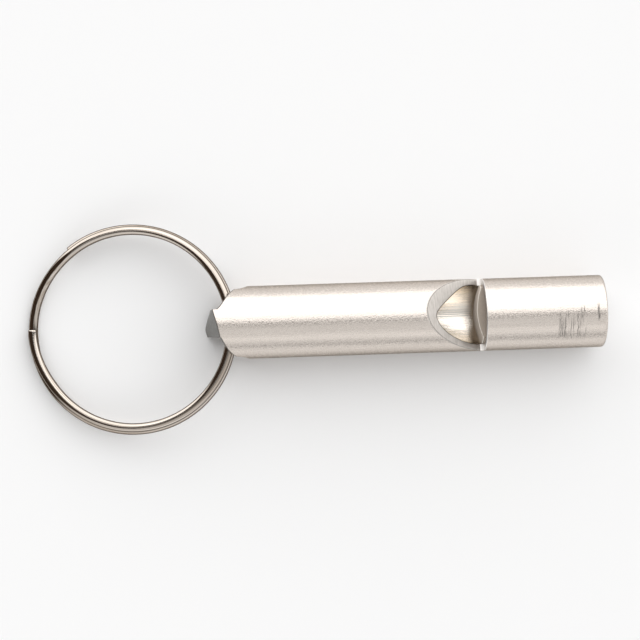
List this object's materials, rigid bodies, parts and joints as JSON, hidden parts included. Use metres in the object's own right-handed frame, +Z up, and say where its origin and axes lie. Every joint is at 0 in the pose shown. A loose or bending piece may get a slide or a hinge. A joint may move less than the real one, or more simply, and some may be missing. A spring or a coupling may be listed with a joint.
{
  "type": "survival whistle",
  "caption": "Metal tube whistle with a sloped sound window, a rounded tail milled to a tongue, and a split ring that swings in the drilled tail for keys or a lanyard.",
  "frame": {"origin": "on the ground, midway along and across the part as it lies with its ring out behind the tail", "axes": "+X from the ring and tail towards the mouth, along the tube; +Z up, the side the sound window faces"},
  "size_m": [0.0795, 0.029, 0.01],
  "materials": {
    "tube_aluminium": "satin drawn aluminium with fine lines along the tube",
    "plug_aluminium": "turned aluminium",
    "tail_aluminium": "sawn aluminium",
    "ring_nickel": "polished nickel-plated spring steel"
  },
  "bodies": {
    "whistle": {"whistle_tube": "tube_aluminium", "fipple_plug": "plug_aluminium", "tail_plug": "tail_aluminium"},
    "ring": {"split_ring": "ring_nickel"}
  },
  "joints": [
    {"name": "ring_swing", "type": "hinge", "parent": "whistle", "child": "ring", "pos_m": [-0.01167, 0, 0.005], "axis": [0, 1, 0], "range_deg": [-150, 165]}
  ]
}
